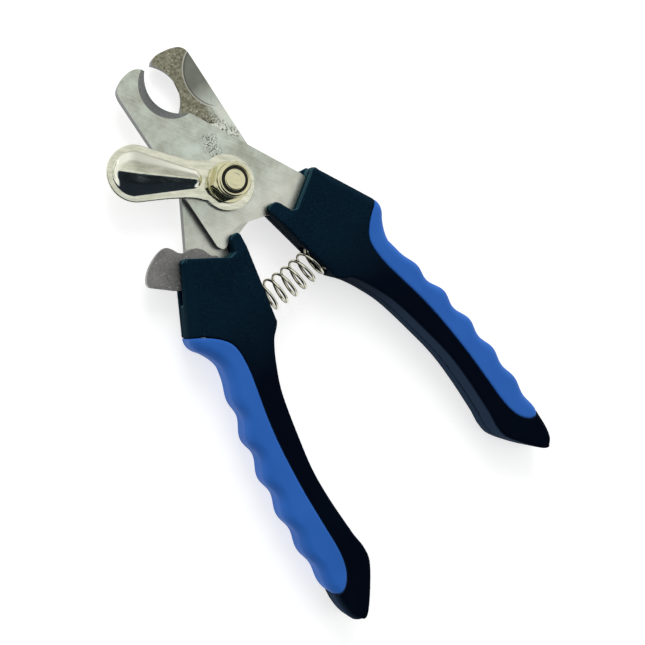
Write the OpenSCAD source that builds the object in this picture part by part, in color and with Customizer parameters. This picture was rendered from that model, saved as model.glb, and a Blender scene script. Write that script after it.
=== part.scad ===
// Pet nail trimmer: two crossed hook blades on one bolt, a swinging guard lever,
// a return spring, a thumb lock and two overmoulded handles.
// Z = 0 is the plane the trimmer lies on, the pivot axis is X = Y = 0, the jaws point
// along +Y and the front blade's handle lies on the +X side. The jaws are drawn open.

/* [Blades] */
// Thickness of each blade
blade_t = 2.8; // [2.4:0.1:2.8]
// Half width of the crossed blades at the jaws
blade_half_w = 12.8; // [12.4:0.1:13.2]
// Radius of the cutting arc
cut_r = 10.35; // [10.1:0.05:10.5]
// Width of the bevel ground along the cutting arc
bevel_w = 2.5; // [1.5:0.1:2.8]

/* [Pivot] */
// Diameter of the pivot bolt
bolt_d = 6; // [5:0.1:6]
// Nut size across its flats
nut_af = 10; // [10:0.1:11]
// Height of the locking nut
nut_h = 6; // [5.6:0.1:6.4]

/* [Guard lever] */
// Sheet thickness of the guard lever
guard_t = 1.2; // [1:0.1:1.4]
// Distance from the pivot to the centre of the lever's round end
guard_len = 26.2; // [25:0.2:26.6]
// Height of the raised teardrop above the sheet
emboss_h = 2.2; // [1.6:0.1:2.4]

/* [Handles] */
// Thickness of the handles
handle_t = 12.4; // [12.4:0.1:13]
// Edge chamfer of the handles
handle_chamfer = 0.9; // [0.5:0.1:1]
// Height of the finger waves on the grips
wave_h = 0.85; // [0.4:0.05:1]

/* [Spring] */
// Wire diameter of the return spring
wire_d = 0.9; // [0.8:0.05:1]
// Outside diameter of the return spring
spring_od = 10.5; // [10.1:0.1:10.5]
// Number of turns
spring_turns = 8; // [7:0.5:9]

/* [Lock] */
// Thickness of the lock lever
lock_t = 2.4; // [2:0.1:2.5]
// Diameter of the pin that the lock lever turns on
lock_pin_d = 2.5; // [2:0.1:2.5]

/* [Hidden] */
$fn = 64;

// Heights of the stack along the pivot
interface_z = 5.2;
running_gap = 0.05;
front_z = interface_z + running_gap;
front_top = front_z + blade_t;
guard_z = front_top + running_gap;
washer_t = 0.6;
nut_washer_z = guard_z + guard_t + running_gap;
nut_z = nut_washer_z + washer_t;
bolt_end_z = nut_z + nut_h + 0.2;
head_shim_t = 0.4;
head_h = interface_z - blade_t - head_shim_t;
bolt_r = bolt_d / 2;
hole_r = bolt_r + 0.05;

// Cutting arc and the straight back edge of a blade, drawn for the front blade
cut_c = [cut_r - 4.55, 31];
jaw_tip = [-1.7, 38.1];
arc_from = atan2(jaw_tip.y - cut_c.y, jaw_tip.x - cut_c.x);
arc_to = 247;
bevel_c = [1.7, 30.4];
bevel_r = 8.8;
relief_c = [-17, 26.9];
relief_r = 10.2;
land_r = 17.3;
relief_depth = 0.15;

// Spring seats in the handles
mid_z = handle_t / 2;
spring_y = -33.4;
seat_x = 12.3;
seat_r = spring_od / 2 + 0.35;
post_r = spring_od / 2 - wire_d - 0.55;
post_x = 10.9;

// Pins through the tangs
pin_r = 1.5;
pin_places = [[18, -22.5], [22.3, -45]];
pin_inset = 2;

// Lock lever pivot, drawn on the left handle, and the pocket it swings in
lock_c = [-24, -13.5];
lock_z = front_z;
lock_pin_r = lock_pin_d / 2;
lock_washer_t = 0.25;
pocket_top = front_top + 0.05;
pocket_low = interface_z - 1;

// Guard lever: where it is parked, the disc round the bolt, the round end and the teardrop's ends
guard_dir = 142;
boss_r = 8.1;
guard_end_r = 7.9;
drop_big_r = 5.8;
drop_small_r = 2.1;
drop_small_x = 10.4;

// Locking nut: hexagon, round crown and the ring it grips the bolt with
crown_h = 2;
crown_r = 4.9;
insert_r = 3.7;
insert_h = 1.6;
insert_z = nut_z + nut_h - insert_h - 0.3;
nut_turn = 41;

// Return spring: one wire wound round an axis that runs from handle to handle
ring_sides = 8;
turn_steps = 20;
coil_r = (spring_od - wire_d) / 2;
spring_len = 2 * seat_x - wire_d - 0.1;

// Spacing of the finger waves and thickness of the core's back and front skins over the grip
wave_pitch = 12.5;
tongue_z = 2.8;

// A rounded stretch through a few points
function blend_point(p0, p1, p2, p3, t) =
    0.5 * (2 * p1 + (p2 - p0) * t + (2 * p0 - 5 * p1 + 4 * p2 - p3) * t * t
    + (3 * p1 - p0 - 3 * p2 + p3) * t * t * t);
function smooth(pts, n = 3) = let (last = len(pts) - 1) concat(
    [for (i = [0 : last - 1]) for (k = [0 : n - 1])
        blend_point(pts[max(i - 1, 0)], pts[i], pts[i + 1], pts[min(i + 2, last)], k / n)],
    [pts[last]]);
function arc(c, r, a0, a1, n = 12) =
    [for (i = [0 : n]) let (a = a0 + (a1 - a0) * i / n) c + r * [cos(a), sin(a)]];
// A clockwise outline moved inward by d
function unit(v) = v / norm(v);
function inset(pts, d) = let (n = len(pts)) [for (i = [0 : n - 1])
    let (a = unit(pts[i] - pts[(i + n - 1) % n]), b = unit(pts[(i + 1) % n] - pts[i]),
        na = [a.y, -a.x], nb = [b.y, -b.x], m = (na + nb) / max(1 + na * nb, 0.6))
    pts[i] + d * m];

// Blade outline, clockwise from the jaw's outer corner
function blade_outline() = concat(
    smooth([[-blade_half_w, 34.6], [-12.2, 36.6], [-10.4, 38], [-7.6, 39.2], [-4.8, 39.6],
        [-2.8, 39.1], jaw_tip]),
    arc(cut_c, cut_r, arc_from, arc_to, 24),
    [[20.9, -10.2], [21.3, -11.2], [21.3, -16.5], [24.4, -24], [24.6, -38],
        [26.6, -48], [28.4, -59], [24.8, -60.2], [20.4, -48], [15.6, -38.5],
        [14.6, -36], [14.6, -26], [10.6, -20.2]],
    smooth([[7.6, -15.7], [5.3, -14.4], [0, -12.8], [-3, -12.1], [-5.5, -11.9],
        [-7.6, -12.5], [-9.2, -13.9], [-10.6, -14.7], [-11.9, -14.5], [-blade_half_w, -13]]));

module blade() {
    difference() {
        linear_extrude(blade_t) polygon(blade_outline());
        translate([0, 0, -1]) cylinder(r = hole_r, h = blade_t + 2);
        for (p = pin_places) translate([p.x, p.y, -1]) cylinder(r = pin_r + 0.05, h = blade_t + 2);
        // Bevel on the outside face along the cutting arc
        translate([bevel_c.x, bevel_c.y, blade_t - bevel_w])
            cylinder(r1 = bevel_r - bevel_w, r2 = bevel_r + 0.1, h = bevel_w + 0.1);
        // Relief on the mating face between the cutting arc, an arc line and the land round the pivot
        translate([0, 0, -1]) linear_extrude(1 + relief_depth) difference() {
            union() {
                translate([-14, 20]) square([24, 22]);
                translate([-9.6, 10]) square([19.6, 12]);
            }
            translate(relief_c) circle(relief_r);
            circle(land_r);
        }
    }
}

module front_blade() {
    color("silver") translate([0, 0, front_z]) blade();
}

module rear_blade() {
    color("silver") translate([0, 0, interface_z]) rotate([0, 180, 0]) blade();
}

module pivot_bolt() {
    color("gainsboro") {
        cylinder(r = nut_af / 2 + 0.6, h = head_h);
        cylinder(r = bolt_r, h = bolt_end_z - 0.5);
        translate([0, 0, bolt_end_z - 0.5]) cylinder(r1 = bolt_r, r2 = bolt_r - 0.4, h = 0.5);
    }
}

module washer(r, t) {
    difference() {
        cylinder(r = r, h = t);
        translate([0, 0, -1]) cylinder(r = hole_r, h = t + 2);
    }
}

module head_washer() {
    color("gray") translate([0, 0, head_h]) washer(6.4, head_shim_t);
}

// Guard lever, drawn along +X and turned to where it is parked
function guard_side() = concat(
    [[5.4, 6], [8.8, 5.4], [12, 5.45], [18, 6.3]],
    arc([guard_len, 0], guard_end_r, 100, 0, 10));
module guard_outline() {
    circle(boss_r);
    polygon(concat(guard_side(), [for (i = [len(guard_side()) - 2 : -1 : 0])
        [guard_side()[i].x, -guard_side()[i].y]]));
}

module teardrop(h, grow) {
    hull() {
        translate([guard_len, 0, 0]) scale([1, 1, h / (drop_big_r + grow)])
            sphere(drop_big_r + grow, $fn = 32);
        translate([drop_small_x, 0, 0]) scale([1, 1, h * 0.7 / (drop_small_r + grow)])
            sphere(drop_small_r + grow, $fn = 24);
    }
}

module guard_lever() {
    color("lightgray") rotate(guard_dir) translate([0, 0, guard_z]) difference() {
        union() {
            linear_extrude(guard_t) guard_outline();
            intersection() {
                translate([0, 0, guard_t]) teardrop(emboss_h, 0);
                translate([5, -10, 0]) cube([35, 20, 5]);
            }
        }
        translate([0, 0, -1]) cylinder(r = hole_r, h = 5);
        translate([0, 0, -0.01]) teardrop(emboss_h, -1);
    }
}

module nut_washer() {
    color("silver") translate([0, 0, nut_washer_z]) washer(nut_af / 2 + 0.9, washer_t);
}

module pivot_nut() {
    color("silver") translate([0, 0, nut_z]) difference() {
        union() {
            rotate(nut_turn) cylinder(r = nut_af / 2 / cos(30), h = nut_h - crown_h, $fn = 6);
            cylinder(r = crown_r, h = nut_h);
        }
        translate([0, 0, -1]) cylinder(r = bolt_r, h = nut_h + 2);
        translate([0, 0, insert_z - nut_z]) cylinder(r = insert_r, h = insert_h + 1);
    }
}

module nut_insert() {
    color("black") translate([0, 0, insert_z]) difference() {
        cylinder(r = insert_r, h = insert_h);
        translate([0, 0, -1]) cylinder(r = bolt_r, h = insert_h + 2);
    }
}

function coil_ring(i) = let (turn = i / turn_steps, a = 360 * turn)
    [for (j = [0 : ring_sides - 1]) let (b = 360 * j / ring_sides, r = coil_r + wire_d / 2 * cos(b))
        [spring_len * (turn / spring_turns - 0.5) + wire_d / 2 * sin(b), r * cos(a), r * sin(a)]];
module return_spring() {
    rings = spring_turns * turn_steps;
    pts = [for (i = [0 : rings]) each coil_ring(i)];
    sides = [for (i = [0 : rings - 1]) for (j = [0 : ring_sides - 1])
        let (k = (j + 1) % ring_sides, a = i * ring_sides)
        each [[a + j, a + ring_sides + k, a + k], [a + j, a + ring_sides + j, a + ring_sides + k]]];
    ends = [[for (j = [0 : ring_sides - 1]) j],
        [for (j = [ring_sides - 1 : -1 : 0]) rings * ring_sides + j]];
    color("silver") translate([0, spring_y, mid_z])
        polyhedron(pts, concat(sides, ends), convexity = 10);
}

// Handle outline, drawn for the right handle. The outer side follows a parabola
// with finger waves on it. The front half's mouth sits lower than the rear half's.
function side_x(y) = 44 - 0.0021 * (y + 117) * (y + 117);
function wave_fade(y) = min(1, (-42 - y) / 15) * (0.4 + 0.6 * min(1, (y + 125) / 60));
function wave_x(y) = side_x(y) + wave_h * wave_fade(y) * cos(360 * (y + 62.5) / wave_pitch);
rear_mouth = [[12.2, -17.2], [22.3, -9.8], [24.4, -9.9], [25.4, -11.3]];
front_mouth = [[12.4, -17.2], [23.4, -10.8], [24.6, -10.6], [25.3, -11.6]];
shoulder = [[35.1, -28.2], [35.7, -29.6], [35.9, -31.4], [35.3, -33.3], [34.1, -35.1],
    [33, -37.4], [32.3, -39.6], [32.1, -41.4]];
inner_side = [[28.9, -105], [28.8, -93], [28, -82], [25.9, -71.5], [22.5, -58],
    [19.1, -50], [15.8, -44.3], [12.1, -39.7]];
throat = [[6.4, -14], [6.8, -13.3], [8, -13.1], [8.9, -13.8], [10.3, -17]];
function handle_outline(front) = concat(
    front ? front_mouth : rear_mouth, shoulder,
    [for (y = [-43.5 : -2.5 : -116]) [wave_x(y), y]],
    smooth([[44.4, -119], [44.3, -122.8], [43.4, -126.3], [41.2, -127.9], [38.5, -126.7],
        [33.3, -120.3], [29.5, -114.2], [28.6, -109.6]], 2),
    smooth(inner_side, 2), throat);

// Everything on the core's side of the line where the grip begins
function grip_line() = smooth([[38, -27.6], [34.9, -29], [31.8, -31], [28.6, -33.8],
    [26.4, -36.9], [25.8, -40.5], [26.4, -46], [28, -52.5], [30.2, -61], [32.1, -71],
    [33.7, -84], [34.5, -95], [35.2, -105], [36.6, -111], [39, -114.8], [41.6, -116.3],
    [44, -115.6], [48, -113]], 2);
module core_area() {
    polygon(concat(grip_line(), [[60, -140], [0, -140], [0, 0], [38, 0]]));
}

// Tongue of the core that the grip is moulded round
module tongue() {
    line = [for (p = grip_line()) if (p.y < -42 && p.y > -107) [p.x - 1, p.y]];
    translate([0, 0, tongue_z]) linear_extrude(handle_t - 2 * tongue_z)
        polygon(concat(line, [for (y = [-107 : 6.5 : -42]) [side_x(y) - 3.2, y]]));
}

// The front half lies above the blades' interface and the rear half below it
module handle_half(front) {
    full = handle_outline(front);
    slim = inset(full, handle_chamfer);
    c = handle_chamfer;
    if (front) {
        translate([0, 0, interface_z]) linear_extrude(handle_t - c - interface_z) polygon(full);
        translate([0, 0, handle_t - c]) linear_extrude(c) polygon(slim);
    } else {
        translate([0, 0, c]) linear_extrude(interface_z - c) polygon(full);
        linear_extrude(c) polygon(slim);
    }
}

module half_space(front) {
    translate([-10, -150, front ? interface_z : -5]) cube([80, 160, front ? 20 : interface_z + 5]);
}

module spring_seat() {
    translate([0, spring_y, mid_z]) rotate([0, 90, 0]) difference() {
        cylinder(r = seat_r, h = seat_x);
        translate([0, 0, post_x]) cylinder(r = post_r, h = seat_x);
    }
}

module pins() {
    for (p = pin_places) translate([p.x, p.y, pin_inset])
        cylinder(r = pin_r, h = handle_t - 2 * pin_inset);
}

// One half of the right handle's core, with room for the tang where it lies on this side
module shell(front, tang_here) {
    difference() {
        intersection() {
            union() {
                intersection() {
                    handle_half(front);
                    translate([0, 0, -1]) linear_extrude(handle_t + 2) core_area();
                }
                tongue();
            }
            half_space(front);
        }
        spring_seat();
        pins();
        if (tang_here) translate([0, 0, front ? 0 : interface_z - blade_t])
            linear_extrude(front ? front_top : blade_t + 1) tang_room();
    }
}

module tang_room() {
    polygon([[21.4, -8], [21.4, -16.5], [24.5, -24], [24.7, -38], [26.7, -48], [28.5, -59.1],
        [24.7, -60.4], [20.3, -48], [15.5, -38.5], [14.5, -36], [14.5, -26], [10.5, -20.2],
        [7.4, -15.8], [5, -14.6], [5, -8]]);
}

module grip() {
    difference() {
        union() {
            handle_half(true);
            handle_half(false);
        }
        translate([0, 0, -1]) linear_extrude(handle_t + 2) core_area();
        tongue();
    }
}

module right_front_shell() {
    color([0.07, 0.12, 0.16]) shell(true, true);
}

module right_rear_shell() {
    color([0.07, 0.12, 0.16]) shell(false, false);
}

module right_grip() {
    color([0.2, 0.38, 0.72]) grip();
}

module right_tang_pins() {
    color("silver") pins();
}

// The left front half also has the pocket that the lock lever swings in
module left_front_shell() {
    color([0.07, 0.12, 0.16]) difference() {
        mirror([1, 0, 0]) shell(true, false);
        translate([0, 0, pocket_low]) linear_extrude(pocket_top - pocket_low)
            polygon([[-40, -21], [-29.5, -21], [-26, -19.5], [-12, -19.5], [-12, -5], [-40, -5]]);
        lock_pin_solid();
    }
}

module left_rear_shell() {
    color([0.07, 0.12, 0.16]) difference() {
        mirror([1, 0, 0]) shell(false, true);
        lock_pin_solid();
    }
}

module left_grip() {
    color([0.2, 0.38, 0.72]) mirror([1, 0, 0]) grip();
}

module left_tang_pins() {
    color("silver") mirror([1, 0, 0]) pins();
}

// Thumb lock: a stamped plate with a thumb lobe, a valley and a hooked lobe
module lock_lever() {
    color("darkgray") translate([0, 0, lock_z]) difference() {
        linear_extrude(lock_t) polygon(concat(
            smooth([[-35.3, -10.3], [-34.3, -8.8], [-32.2, -7], [-29.3, -5.6], [-27.2, -5], [-25.3, -5],
                [-24, -6.3], [-23, -8.2], [-21.7, -9.1], [-19.8, -9.4], [-18, -10.1],
                [-16.6, -11.6], [-16, -13.2], [-15.4, -14.4], [-14.3, -15.1], [-14.1, -16.2]]),
            smooth([[-15, -17.1], [-18, -17.4], [-22, -17.6], [-27, -17.5], [-29.2, -16.8],
                [-32.1, -14.3], [-34.7, -12], [-35.3, -11.2]])));
        translate([lock_c.x, lock_c.y, -1]) cylinder(r = lock_pin_r + 0.05, h = lock_t + 2);
    }
}

module lock_pin_solid() {
    translate([lock_c.x, lock_c.y, pin_inset])
        cylinder(r = lock_pin_r, h = handle_t - 2 * pin_inset);
}

module lock_pin() {
    color("silver") lock_pin_solid();
}

module lock_washer() {
    color("gray") translate([lock_c.x, lock_c.y, lock_z + lock_t + running_gap]) difference() {
        cylinder(r = 2.2, h = lock_washer_t);
        translate([0, 0, -1]) cylinder(r = lock_pin_r + 0.05, h = 2);
    }
}

front_blade();
rear_blade();
pivot_bolt();
head_washer();
guard_lever();
nut_washer();
pivot_nut();
nut_insert();
return_spring();
left_front_shell();
left_rear_shell();
left_grip();
left_tang_pins();
right_front_shell();
right_rear_shell();
right_grip();
right_tang_pins();
lock_lever();
lock_pin();
lock_washer();
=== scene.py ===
"""Pet nail trimmer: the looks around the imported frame.

Shapes are worked out in millimetres, in the frame's own axes, and written to the meshes in metres.
The handles, the grips and the guard are solids given by a signed distance in millimetres, negative
inside: the plan is an outline in X and Y, the heights are along Z, and edges are rounded where two
distances meet. The blades and the lock are plates, the fasteners are turned, the spring is swept.
"""
import math

import bmesh
import bpy
import numpy as np
from mathutils import Matrix, Vector


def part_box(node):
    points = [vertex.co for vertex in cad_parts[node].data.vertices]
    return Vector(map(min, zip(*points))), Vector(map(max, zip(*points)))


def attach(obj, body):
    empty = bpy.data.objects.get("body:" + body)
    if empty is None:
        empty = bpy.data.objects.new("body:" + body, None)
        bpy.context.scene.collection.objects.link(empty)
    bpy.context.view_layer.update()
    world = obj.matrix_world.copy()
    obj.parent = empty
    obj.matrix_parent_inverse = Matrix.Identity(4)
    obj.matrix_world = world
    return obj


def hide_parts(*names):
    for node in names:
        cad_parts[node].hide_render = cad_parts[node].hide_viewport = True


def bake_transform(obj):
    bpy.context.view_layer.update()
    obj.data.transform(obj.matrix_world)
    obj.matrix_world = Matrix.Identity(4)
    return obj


MM = 0.001
SHARP_ANGLE = 38  # degrees between faces, where turned pieces get a hard edge
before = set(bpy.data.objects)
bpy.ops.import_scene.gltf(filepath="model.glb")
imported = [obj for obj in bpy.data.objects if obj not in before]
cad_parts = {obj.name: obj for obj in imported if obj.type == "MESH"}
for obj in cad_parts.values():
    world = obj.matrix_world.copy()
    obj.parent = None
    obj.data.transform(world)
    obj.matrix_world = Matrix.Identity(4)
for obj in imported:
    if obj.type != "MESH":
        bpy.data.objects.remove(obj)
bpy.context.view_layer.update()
scene = bpy.context.scene

# ---------------------------------------------------------------- sizes, in millimetres


def heights(node):
    """Lowest and highest Z of a CAD node."""
    low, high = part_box(node)
    return low[2] / MM, high[2] / MM


BACK_Z, FRONT_Z = heights("right_grip")
SPLIT_Z = heights("rear_blade")[1]
TANG_TOP = heights("front_blade")[1]
TANG_LOW = heights("rear_blade")[0]
GUARD_Z = heights("guard_lever")[0]
MID_Z = (BACK_Z + FRONT_Z) / 2


# ---------------------------------------------------------------- outlines


def smooth(points, steps=8):
    """Catmull-Rom curve through a few points."""
    p = np.array(points, float)
    p = np.vstack([p[:1], p, p[-1:]])
    t = np.arange(steps)[:, None] / steps
    parts = []
    for a, b, c, d in zip(p, p[1:], p[2:], p[3:]):
        parts.append(0.5 * (2 * b + (c - a) * t + (2 * a - 5 * b + 4 * c - d) * t**2
                            + (3 * b - a - 3 * c + d) * t**3))
    return np.vstack(parts + [p[-1:]])


def circle_arc(centre, radius, start, stop, steps=24):
    """Points of an arc between two angles in degrees."""
    a = np.radians(np.linspace(start, stop, steps + 1))
    return np.array(centre) + radius * np.column_stack([np.cos(a), np.sin(a)])


# Right handle, seen from the front. The outer side is a parabola with finger waves on it.
# The mouth, where the tang goes in, is not quite the same on the front and the rear half.
REAR_MOUTH = [[12.2, -17.2], [22.3, -9.8], [24.4, -9.9], [25.4, -11.3]]
FRONT_MOUTH = [[12.4, -17.2], [21.8, -11.3], [22.9, -10.5], [24, -10.2], [24.9, -10.7],
               [25.4, -11.9]]
SHOULDER = [[35.1, -28.2], [35.7, -29.6], [35.9, -31.4], [35.3, -33.3], [34.1, -35.1],
            [33, -37.4], [32.3, -39.6], [32.1, -41.4]]
TIP = [[44.4, -119], [44.3, -122.8], [43.4, -126.3], [41.2, -127.9], [38.5, -126.7],
       [33.2, -120.4], [29.3, -114.4], [28.5, -109.6]]
INNER = [[28.9, -105], [28.8, -93], [28, -82], [25.9, -71.5], [22.5, -58],
         [19.1, -50], [15.8, -44.3], [12.1, -39.7]]
THROAT = [[6.35, -13.7], [6.6, -13.2], [8.2, -13], [8.9, -13.6], [10.3, -17]]
GRIP_LINE = [[38, -27.6], [34.9, -29], [31.8, -31], [28.6, -33.8], [26.4, -36.9], [25.8, -40.5],
             [26.4, -46], [28, -52.5], [30.2, -61], [32.1, -71], [33.7, -84], [34.5, -95],
             [35.2, -105], [36.6, -111], [39, -114.8], [41.6, -116.3], [44, -115.6], [48, -113]]
WAVE_PITCH, WAVE_HEIGHT, WAVE_CREST_Y = 12.5, 0.85, -62.5
SIDE_WIDEST, SIDE_BEND = (44, -117), 0.0021


def wave_side(shift=0.0):
    """The wavy outer side. The waves fade in below the shoulder and get lower towards the tip."""
    y = np.arange(-43, -116.5, -0.8)
    base = SIDE_WIDEST[0] - SIDE_BEND * (y - SIDE_WIDEST[1]) ** 2
    fade = np.minimum(1, (-42 - y) / 15) * (0.4 + 0.6 * np.minimum(1, (y + 125) / 60))
    wave = np.cos(2 * np.pi * (y - WAVE_CREST_Y + shift) / WAVE_PITCH)
    return np.column_stack([base + WAVE_HEIGHT * fade * wave, y])


def handle_outline(mouth, shift=0.0):
    """The closed outline of the right handle, clockwise from the mouth."""
    return np.vstack([mouth, smooth(SHOULDER), wave_side(shift), smooth(TIP), smooth(INNER),
                      THROAT])


# ---------------------------------------------------------------- solids from distances


class Plan:
    """Distance to an outline in X and Y, kept on a fine grid and negative inside a closed one."""

    def __init__(self, outline, closed=True, pitch=0.2, margin=7.0):
        p = np.array(outline, float)
        self.pitch, self.low = pitch, p.min(0) - margin
        count = np.ceil((p.max(0) + margin - self.low) / pitch).astype(int) + 1
        x = (self.low[0] + pitch * np.arange(count[0]))[:, None]
        y = (self.low[1] + pitch * np.arange(count[1]))[None, :]
        nearest = np.full(count, 1e9)
        inside = np.zeros(count, bool)
        for a, b in zip(p, np.roll(p, -1, 0) if closed else p[1:]):
            run = b - a
            if not run.any():
                continue
            t = np.clip(((x - a[0]) * run[0] + (y - a[1]) * run[1]) / (run @ run), 0, 1)
            away = (x - a[0] - t * run[0]) ** 2 + (y - a[1] - t * run[1]) ** 2
            nearest = np.minimum(nearest, away)
            if run[1]:
                inside ^= ((a[1] > y) != (b[1] > y)) & (x < a[0] + (y - a[1]) * run[0] / run[1])
        self.grid = np.sqrt(nearest) * (np.where(inside, -1, 1) if closed else 1)

    def __call__(self, x, y):
        g = self.grid
        u = np.clip((x - self.low[0]) / self.pitch, 0, g.shape[0] - 1.001)
        v = np.clip((y - self.low[1]) / self.pitch, 0, g.shape[1] - 1.001)
        i, j = u.astype(int), v.astype(int)
        u, v = u - i, v - j
        return ((1 - u) * ((1 - v) * g[i, j] + v * g[i, j + 1])
                + u * ((1 - v) * g[i + 1, j] + v * g[i + 1, j + 1]))


def both(a, b, r=0.0):
    """Where both solids are, with edges rounded by r."""
    corner_distance = np.hypot(np.maximum(a + r, 0), np.maximum(b + r, 0))
    return np.minimum(np.maximum(a, b) + r, 0) + corner_distance - r


def without(a, b, r=0.0):
    """The first solid with the second one taken out."""
    return both(a, -b, r)


def step(x, low, high):
    """Goes smoothly from 0 at low to 1 at high."""
    t = np.clip((x - low) / (high - low), 0, 1)
    return t * t * (3 - 2 * t)


EDGES = [(axis, (axis + 1) % 3, (axis + 2) % 3) for axis in range(3)]


def net(f, low, high, pitch):
    """Quads over the surface where f is zero, one point per grid cell that the surface crosses."""
    low = np.array(low, float)
    count = np.ceil((np.array(high) - low) / pitch).astype(int) + 1
    grids = [low[k] + pitch * np.arange(count[k]) for k in range(3)]
    field = f(*np.meshgrid(*grids, indexing="ij"))
    cells = tuple(count - 1)
    total, hits = np.zeros(cells + (3,)), np.zeros(cells)
    crossings = []
    for axis, b, c in EDGES:
        first = [slice(None)] * 3
        second = list(first)
        first[axis], second[axis] = slice(0, -1), slice(1, None)
        fa, fb = field[tuple(first)], field[tuple(second)]
        cross = (fa < 0) != (fb < 0)
        t = np.where(cross, fa / np.where(cross, fa - fb, 1), 0)
        crossings.append((cross, fa < 0))
        for db in (0, 1):
            for dc in (0, 1):
                part = [slice(None)] * 3
                part[b] = slice(db, db + cells[b])
                part[c] = slice(dc, dc + cells[c])
                hit = cross[tuple(part)]
                total[..., axis] += hit * t[tuple(part)]
                total[..., b] += hit * db
                total[..., c] += hit * dc
                hits += hit
    used = hits > 0
    number = np.full(cells, -1)
    number[used] = np.arange(used.sum())
    points = low + pitch * (np.argwhere(used) + total[used] / hits[used][:, None])
    quads = []
    for (axis, b, c), (cross, inward) in zip(EDGES, crossings):
        part = [slice(None)] * 3
        part[b], part[c] = slice(1, cells[b]), slice(1, cells[c])
        at = np.argwhere(cross[tuple(part)])
        flip = inward[tuple(part)][cross[tuple(part)]]
        at[:, b] += 1
        at[:, c] += 1
        corners = []
        for db, dc in ((1, 1), (0, 1), (0, 0), (1, 0)):
            cell = at.copy()
            cell[:, b] -= db
            cell[:, c] -= dc
            corners.append(number[tuple(cell.T)])
        quad = np.column_stack(corners)
        quad[~flip] = quad[~flip][:, ::-1]
        quads.append(quad)
    return points, np.vstack(quads)


def settle(f, points, rounds=3, reach=0.02, most=0.3):
    """Moves the points onto the surface along the slope of f."""
    for _ in range(rounds):
        value = f(*points.T)
        slope = np.column_stack([
            (f(*(points + d).T) - f(*(points - d).T)) / (2 * reach) for d in np.eye(3) * reach])
        move = slope * (value / np.maximum((slope**2).sum(1), 0.05))[:, None]
        size = np.linalg.norm(move, axis=1, keepdims=True)
        points = points - move * np.minimum(1, most / np.maximum(size, 1e-9))
    return points


def mesh_object(name, points, faces):
    """A smooth-shaded mesh in metres from points in millimetres."""
    faces = faces.tolist() if isinstance(faces, np.ndarray) else faces
    mesh = bpy.data.meshes.new(name)
    mesh.from_pydata((np.asarray(points) * MM).tolist(), [], faces)
    mesh.validate()
    mesh.update()
    mesh.shade_smooth()
    obj = bpy.data.objects.new(name, mesh)
    bpy.context.collection.objects.link(obj)
    return obj


def solid(name, f, low, high, pitch):
    """A mesh over the surface where f is zero, within a box."""
    points, quads = net(f, low, high, pitch)
    return mesh_object(name, settle(f, points), quads)


def tidy(obj):
    """Merges doubled points and turns every face outward."""
    bm = bmesh.new()
    bm.from_mesh(obj.data)
    bmesh.ops.remove_doubles(bm, verts=bm.verts, dist=1e-7)
    bmesh.ops.recalc_face_normals(bm, faces=bm.faces)
    bm.to_mesh(obj.data)
    bm.free()


def apply_modifiers(obj):
    """Makes the modifiers' result the object's own mesh."""
    graph = bpy.context.evaluated_depsgraph_get()
    done = bpy.data.meshes.new_from_object(obj.evaluated_get(graph))
    obj.modifiers.clear()
    obj.data = done


# ---------------------------------------------------------------- materials


def linear(r, g, b):
    """Linear colour from 8-bit screen values."""
    return tuple(c / 12.92 if c <= 0.04045 else ((c + 0.055) / 1.055) ** 2.4
                 for c in (r / 255, g / 255, b / 255)) + (1.0,)


def dimmed(color, level):
    """A darker shade of a colour."""
    return tuple(level * c for c in color[:3]) + (1,)


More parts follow.
